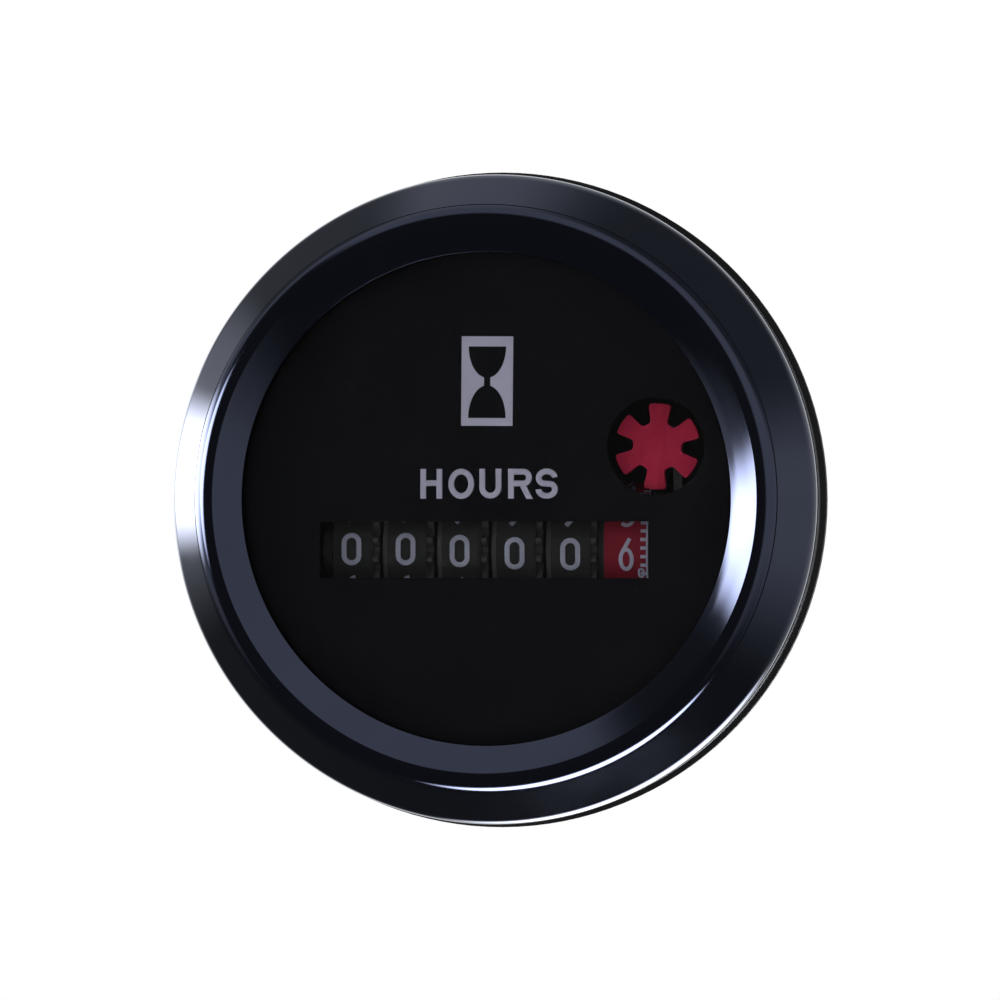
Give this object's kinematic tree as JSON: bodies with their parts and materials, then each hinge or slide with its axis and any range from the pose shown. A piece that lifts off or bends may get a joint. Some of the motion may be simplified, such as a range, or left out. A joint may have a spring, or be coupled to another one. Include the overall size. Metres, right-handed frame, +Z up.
{
  "type": "panel hour meter",
  "caption": "Round panel-mounted hour meter with a gloss black bezel, a drum counter with a red tenths drum, and a red star-shaped run indicator on a black dial.",
  "frame": {"origin": "centre of the panel plane, at the rear face of the gasket", "axes": "+Y backwards along the barrel, +X to the reader's right, +Z up on the dial; the dial faces -Y"},
  "size_m": [0.06, 0.0574, 0.06],
  "materials": {
    "bezel_black": "gloss black plating",
    "clear_lens": "clear",
    "dial_black": "matt black print",
    "rubber_black": "matt",
    "case_black": "moulded",
    "drum_black": "moulded",
    "drum_red": "moulded",
    "star_red": "moulded",
    "gear_cream": "moulded",
    "steel": "plain",
    "frame_steel": "blackened",
    "brass": "plain",
    "tinned_brass": "tin plated",
    "copper": "enamelled wire",
    "magnet": "plain",
    "board_green": "solder mask",
    "chip_black": "moulded",
    "capacitor_ochre": "moulded",
    "diode_amber": "glass-like"
  },
  "bodies": {
    "meter": {"bezel": "bezel_black", "lens_seal": "rubber_black", "lens": "clear_lens", "dial": "dial_black", "panel_gasket": "rubber_black", "case": "case_black", "mounting_studs": "steel", "terminal_left": "tinned_brass", "terminal_right": "tinned_brass", "counter_frame": "frame_steel", "drum_shaft": "steel", "pinion_shaft": "steel", "front_plate": "frame_steel", "rear_plate": "brass", "plate_pillars": "steel", "stator": "steel", "coil_core": "steel", "coil_bobbin": "gear_cream", "coil_winding": "copper", "circuit_board": "board_green", "quartz_crystal": "steel", "driver_chip": "chip_black", "capacitor": "capacitor_ochre", "diode": "diode_amber", "movement_screws": "steel", "plate_screws": "steel", "frame_screws": "steel", "core_screws": "steel", "board_screws": "steel"},
    "indicator": {"indicator_arbor": "steel", "worm": "drum_black", "star_wheel": "star_red", "arbor_wheel": "brass"},
    "reduction": {"reduction_wheel": "gear_cream"},
    "rotor": {"rotor_pinion": "gear_cream", "rotor_magnet": "magnet"},
    "tenths": {"drum_tenths": "drum_red", "worm_wheel": "drum_black"},
    "units": {"drum_units": "drum_black"},
    "tens": {"drum_tens": "drum_black"},
    "hundreds": {"drum_hundreds": "drum_black"},
    "thousands": {"drum_thousands": "drum_black"},
    "ten_thousands": {"drum_ten_thousands": "drum_black"},
    "carry_1": {"transfer_pinion_1": "drum_black"},
    "carry_2": {"transfer_pinion_2": "drum_black"},
    "carry_3": {"transfer_pinion_3": "drum_black"},
    "carry_4": {"transfer_pinion_4": "drum_black"},
    "carry_5": {"transfer_pinion_5": "drum_black"}
  },
  "joints": [
    {"name": "indicator_spin", "type": "hinge", "parent": "meter", "child": "indicator", "pos_m": [0.01518, 0, 0.00472], "axis": [0, -1, 0], "continuous": true},
    {"name": "reduction_spin", "type": "hinge", "parent": "meter", "child": "reduction", "pos_m": [0.00894, 0.01735, 0.00832], "axis": [0, -1, 0], "continuous": true},
    {"name": "rotor_spin", "type": "hinge", "parent": "meter", "child": "rotor", "pos_m": [0.00205, 0.01885, 0.0071], "axis": [0, -1, 0], "continuous": true},
    {"name": "tenths_spin", "type": "hinge", "parent": "meter", "child": "tenths", "pos_m": [0, 0.0004, -0.0046], "axis": [-1, 0, 0], "continuous": true},
    {"name": "units_spin", "type": "hinge", "parent": "meter", "child": "units", "pos_m": [0, 0.0004, -0.0046], "axis": [-1, 0, 0], "continuous": true},
    {"name": "tens_spin", "type": "hinge", "parent": "meter", "child": "tens", "pos_m": [0, 0.0004, -0.0046], "axis": [-1, 0, 0], "continuous": true},
    {"name": "hundreds_spin", "type": "hinge", "parent": "meter", "child": "hundreds", "pos_m": [0, 0.0004, -0.0046], "axis": [-1, 0, 0], "continuous": true},
    {"name": "thousands_spin", "type": "hinge", "parent": "meter", "child": "thousands", "pos_m": [0, 0.0004, -0.0046], "axis": [-1, 0, 0], "continuous": true},
    {"name": "ten_thousands_spin", "type": "hinge", "parent": "meter", "child": "ten_thousands", "pos_m": [0, 0.0004, -0.0046], "axis": [-1, 0, 0], "continuous": true},
    {"name": "carry_1_spin", "type": "hinge", "parent": "meter", "child": "carry_1", "pos_m": [0, 0.0081, -0.0046], "axis": [-1, 0, 0], "continuous": true},
    {"name": "carry_2_spin", "type": "hinge", "parent": "meter", "child": "carry_2", "pos_m": [0, 0.0081, -0.0046], "axis": [-1, 0, 0], "continuous": true},
    {"name": "carry_3_spin", "type": "hinge", "parent": "meter", "child": "carry_3", "pos_m": [0, 0.0081, -0.0046], "axis": [-1, 0, 0], "continuous": true},
    {"name": "carry_4_spin", "type": "hinge", "parent": "meter", "child": "carry_4", "pos_m": [0, 0.0081, -0.0046], "axis": [-1, 0, 0], "continuous": true},
    {"name": "carry_5_spin", "type": "hinge", "parent": "meter", "child": "carry_5", "pos_m": [0, 0.0081, -0.0046], "axis": [-1, 0, 0], "continuous": true}
  ],
  "couplings": [
    {"joint": "reduction_spin", "follows": "indicator_spin", "ratio": -5},
    {"joint": "rotor_spin", "follows": "indicator_spin", "ratio": 30},
    {"joint": "tenths_spin", "follows": "indicator_spin", "ratio": 0.02},
    {"joint": "units_spin", "follows": "indicator_spin", "ratio": 0.002},
    {"joint": "tens_spin", "follows": "indicator_spin", "ratio": 0.0002},
    {"joint": "hundreds_spin", "follows": "indicator_spin", "ratio": 0.00002},
    {"joint": "thousands_spin", "follows": "indicator_spin", "ratio": 0.000002},
    {"joint": "ten_thousands_spin", "follows": "indicator_spin", "ratio": 0.0000002},
    {"joint": "carry_1_spin", "follows": "indicator_spin", "ratio": -0.005},
    {"joint": "carry_2_spin", "follows": "indicator_spin", "ratio": -0.0005},
    {"joint": "carry_3_spin", "follows": "indicator_spin", "ratio": -0.00005},
    {"joint": "carry_4_spin", "follows": "indicator_spin", "ratio": -0.000005},
    {"joint": "carry_5_spin", "follows": "indicator_spin", "ratio": -0.0000005}
  ]
}
